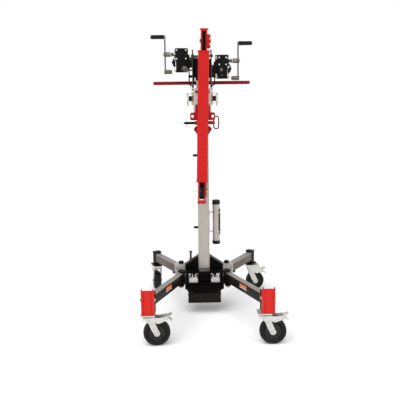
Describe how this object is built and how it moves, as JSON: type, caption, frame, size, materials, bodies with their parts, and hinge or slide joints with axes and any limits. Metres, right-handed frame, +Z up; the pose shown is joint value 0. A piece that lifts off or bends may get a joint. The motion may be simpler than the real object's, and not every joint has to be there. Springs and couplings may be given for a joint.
{
  "type": "material lift",
  "caption": "Hand-winched material lift with a telescoping mast, swinging boom with rope sheaves, folding splayed legs and braked swivel casters.",
  "frame": {"origin": "floor point under the middle of the bounding box", "axes": "+Z up, -Y towards the boom side (front), +X to the right seen from the front"},
  "size_m": [0.8216, 1.0766, 1.7335],
  "materials": {
    "black_steel": "semi-gloss black powder coat",
    "red_steel": "gloss red powder coat",
    "dark_red_tube": "gloss dark red enamel",
    "mast_aluminium": "satin extruded",
    "zinc_steel": "bright zinc plate",
    "brass_zinc": "yellow zinc plate",
    "wheel_rubber": "moulded",
    "black_plastic": "moulded",
    "drum_steel": "greased wire rope on a steel drum",
    "link_steel": "worn red"
  },
  "bodies": {
    "base": {"hub_frame": "black_steel", "hub_gussets": "black_steel", "hub_box": "black_steel", "lock_blocks": "zinc_steel", "mast_outer": "mast_aluminium", "mast_fittings": "black_plastic", "winch_bracket": "black_steel", "winch_cases": "black_steel", "base_bolts": "brass_zinc", "push_bar": "dark_red_tube", "tube_mount": "mast_aluminium", "document_tube": "mast_aluminium", "casting_rl": "zinc_steel", "casting_rr": "zinc_steel"},
    "lock_pin_left": {"lock_pin_left": "black_steel"},
    "lock_pin_right": {"lock_pin_right": "black_steel"},
    "leg_plunger": {"leg_plunger": "black_steel"},
    "tube_cap": {"tube_cap": "black_plastic"},
    "knob_rl": {"knob_rl": "black_plastic"},
    "knob_rr": {"knob_rr": "black_plastic"},
    "crank_left": {"crank_left": "zinc_steel"},
    "grip_left": {"grip_left": "black_plastic"},
    "drum_left": {"drum_left": "drum_steel"},
    "crank_right": {"crank_right": "zinc_steel"},
    "grip_right": {"grip_right": "black_plastic"},
    "drum_right": {"drum_right": "drum_steel"},
    "leg_fl": {"leg_fl": "mast_aluminium", "end_fl": "red_steel", "post_fl": "black_steel"},
    "leg_fr": {"leg_fr": "mast_aluminium", "end_fr": "red_steel", "post_fr": "black_steel"},
    "leg_rl": {"leg_rl": "mast_aluminium", "end_rl": "black_plastic"},
    "leg_rr": {"leg_rr": "mast_aluminium", "end_rr": "black_plastic"},
    "lift": {"mast_inner": "mast_aluminium", "carriage": "mast_aluminium", "roller_blocks": "brass_zinc", "collar": "red_steel"},
    "roller_left": {"roller_left": "black_plastic"},
    "roller_right": {"roller_right": "black_plastic"},
    "link_ring": {"link_ring": "link_steel"},
    "hitch_pin": {"hitch_pin": "black_steel"},
    "boom": {"boom": "red_steel", "boom_hardware": "brass_zinc"},
    "sheave_top": {"sheave_top": "drum_steel"},
    "sheave_low": {"sheave_low": "drum_steel"},
    "fork_fl": {"fork_fl": "zinc_steel"},
    "wheel_fl": {"wheel_fl": "wheel_rubber"},
    "pedal_fl": {"pedal_fl": "zinc_steel"},
    "fork_fr": {"fork_fr": "zinc_steel"},
    "wheel_fr": {"wheel_fr": "wheel_rubber"},
    "pedal_fr": {"pedal_fr": "zinc_steel"},
    "fork_rl": {"fork_rl": "zinc_steel"},
    "wheel_rl": {"wheel_rl": "wheel_rubber"},
    "pedal_rl": {"pedal_rl": "zinc_steel"},
    "fork_rr": {"fork_rr": "zinc_steel"},
    "wheel_rr": {"wheel_rr": "wheel_rubber"},
    "pedal_rr": {"pedal_rr": "zinc_steel"}
  },
  "joints": [
    {"name": "lift_slide", "type": "slide", "parent": "base", "child": "lift", "axis": [0, 0, 1], "range_m": [0, 1]},
    {"name": "boom_swing", "type": "hinge", "parent": "lift", "child": "boom", "pos_m": [-0.042, -0.058, 1.238], "axis": [0, 1, 0], "range_deg": [-1.4, 88.6]},
    {"name": "sheave_top_spin", "type": "hinge", "parent": "boom", "child": "sheave_top", "pos_m": [-0.03154, -0.09, 1.66587], "axis": [0.9997, 0, -0.0244], "continuous": true},
    {"name": "sheave_low_spin", "type": "hinge", "parent": "boom", "child": "sheave_low", "pos_m": [-0.0529, -0.09, 0.79213], "axis": [0.9997, 0, -0.0244], "continuous": true},
    {"name": "roller_left_spin", "type": "hinge", "parent": "lift", "child": "roller_left", "pos_m": [-0.115, 0.021, 1.338], "axis": [1, 0, 0], "continuous": true},
    {"name": "roller_right_spin", "type": "hinge", "parent": "lift", "child": "roller_right", "pos_m": [0.031, 0.021, 1.338], "axis": [1, 0, 0], "continuous": true},
    {"name": "link_swing", "type": "hinge", "parent": "lift", "child": "link_ring", "pos_m": [0.025, -0.009, 1.196], "axis": [0, 0, 1], "range_deg": [0, 85]},
    {"name": "hitch_pin_pull", "type": "slide", "parent": "lift", "child": "hitch_pin", "axis": [-1, 0, 0], "range_m": [0, 0.06]},
    {"name": "crank_left_turn", "type": "hinge", "parent": "base", "child": "crank_left", "pos_m": [-0.192, 0.095, 1.602], "axis": [1, 0, 0], "continuous": true},
    {"name": "grip_left_spin", "type": "hinge", "parent": "crank_left", "child": "grip_left", "pos_m": [-0.305, 0.095, 1.705], "axis": [1, 0, 0], "continuous": true},
    {"name": "drum_left_turn", "type": "hinge", "parent": "base", "child": "drum_left", "pos_m": [-0.087, 0.13, 1.554], "axis": [1, 0, 0], "continuous": true},
    {"name": "crank_right_turn", "type": "hinge", "parent": "base", "child": "crank_right", "pos_m": [0.108, 0.095, 1.561], "axis": [1, 0, 0], "continuous": true},
    {"name": "grip_right_spin", "type": "hinge", "parent": "crank_right", "child": "grip_right", "pos_m": [0.221, 0.095, 1.664], "axis": [1, 0, 0], "continuous": true},
    {"name": "drum_right_turn", "type": "hinge", "parent": "base", "child": "drum_right", "pos_m": [0.003, 0.13, 1.509], "axis": [1, 0, 0], "continuous": true},
    {"name": "leg_fl_fold", "type": "hinge", "parent": "base", "child": "leg_fl", "pos_m": [-0.189, -0.043, 0.23], "axis": [0, 0, 1], "range_deg": [0, 20]},
    {"name": "caster_fl_swivel", "type": "hinge", "parent": "leg_fl", "child": "fork_fl", "pos_m": [-0.36435, -0.502, 0.15], "axis": [0, 0, 1], "continuous": true},
    {"name": "wheel_fl_roll", "type": "hinge", "parent": "fork_fl", "child": "wheel_fl", "pos_m": [-0.31846, -0.49879, 0.075], "axis": [-0.0698, 0.9976, 0], "continuous": true},
    {"name": "pedal_fl_press", "type": "hinge", "parent": "fork_fl", "child": "pedal_fl", "pos_m": [-0.26235, -0.49487, 0.15975], "axis": [-0.0698, 0.9976, 0], "range_deg": [0, 14]},
    {"name": "leg_fr_fold", "type": "hinge", "parent": "base", "child": "leg_fr", "pos_m": [0.105, -0.043, 0.23], "axis": [0, 0, 1], "range_deg": [-20, 0]},
    {"name": "caster_fr_swivel", "type": "hinge", "parent": "leg_fr", "child": "fork_fr", "pos_m": [0.27823, -0.502, 0.15], "axis": [0, 0, 1], "continuous": true},
    {"name": "wheel_fr_roll", "type": "hinge", "parent": "fork_fr", "child": "wheel_fr", "pos_m": [0.32412, -0.50521, 0.075], "axis": [0.0698, 0.9976, 0], "continuous": true},
    {"name": "pedal_fr_press", "type": "hinge", "parent": "fork_fr", "child": "pedal_fr", "pos_m": [0.38023, -0.50913, 0.15975], "axis": [0.0698, 0.9976, 0], "range_deg": [0, 14]},
    {"name": "leg_rl_fold", "type": "hinge", "parent": "base", "child": "leg_rl", "pos_m": [-0.189, 0.113, 0.23], "axis": [0, 0, 1], "range_deg": [-29, 0]},
    {"name": "caster_rl_swivel", "type": "hinge", "parent": "leg_rl", "child": "fork_rl", "pos_m": [-0.36256, 0.42611, 0.15], "axis": [0, 0, 1], "continuous": true},
    {"name": "wheel_rl_roll", "type": "hinge", "parent": "fork_rl", "child": "wheel_rl", "pos_m": [-0.36963, 0.45937, 0.0625], "axis": [-0.9781, -0.2079, 0], "continuous": true},
    {"name": "pedal_rl_press", "type": "hinge", "parent": "fork_rl", "child": "pedal_rl", "pos_m": [-0.37938, 0.50522, 0.13312], "axis": [-0.9781, -0.2079, 0], "range_deg": [0, 8]},
    {"name": "leg_rr_fold", "type": "hinge", "parent": "base", "child": "leg_rr", "pos_m": [0.105, 0.113, 0.23], "axis": [0, 0, 1], "range_deg": [0, 29]},
    {"name": "caster_rr_swivel", "type": "hinge", "parent": "leg_rr", "child": "fork_rr", "pos_m": [0.28938, 0.41987, 0.15], "axis": [0, 0, 1], "continuous": true},
    {"name": "wheel_rr_roll", "type": "hinge", "parent": "fork_rr", "child": "wheel_rr", "pos_m": [0.3232, 0.42342, 0.0625], "axis": [-0.1045, 0.9945, 0], "continuous": true},
    {"name": "pedal_rr_press", "type": "hinge", "parent": "fork_rr", "child": "pedal_rr", "pos_m": [0.36982, 0.42832, 0.13312], "axis": [-0.1045, 0.9945, 0], "range_deg": [0, 8]},
    {"name": "knob_rl_turn", "type": "hinge", "parent": "base", "child": "knob_rl", "pos_m": [-0.189, 0.113, 0.295], "axis": [0, 0, 1], "continuous": true},
    {"name": "knob_rr_turn", "type": "hinge", "parent": "base", "child": "knob_rr", "pos_m": [0.105, 0.113, 0.295], "axis": [0, 0, 1], "continuous": true},
    {"name": "lock_pin_left_lift", "type": "slide", "parent": "base", "child": "lock_pin_left", "axis": [0, 0, 1], "range_m": [0, 0.012]},
    {"name": "lock_pin_right_lift", "type": "slide", "parent": "base", "child": "lock_pin_right", "axis": [0, 0, 1], "range_m": [0, 0.012]},
    {"name": "leg_plunger_pull", "type": "slide", "parent": "base", "child": "leg_plunger", "axis": [0, 0, 1], "range_m": [0, 0.02]},
    {"name": "tube_cap_pull", "type": "slide", "parent": "base", "child": "tube_cap", "axis": [0, 0, 1], "range_m": [0, 0.06]}
  ],
  "couplings": [
    {"joint": "drum_left_turn", "follows": "crank_left_turn", "ratio": -0.2},
    {"joint": "drum_right_turn", "follows": "crank_right_turn", "ratio": -0.2}
  ]
}
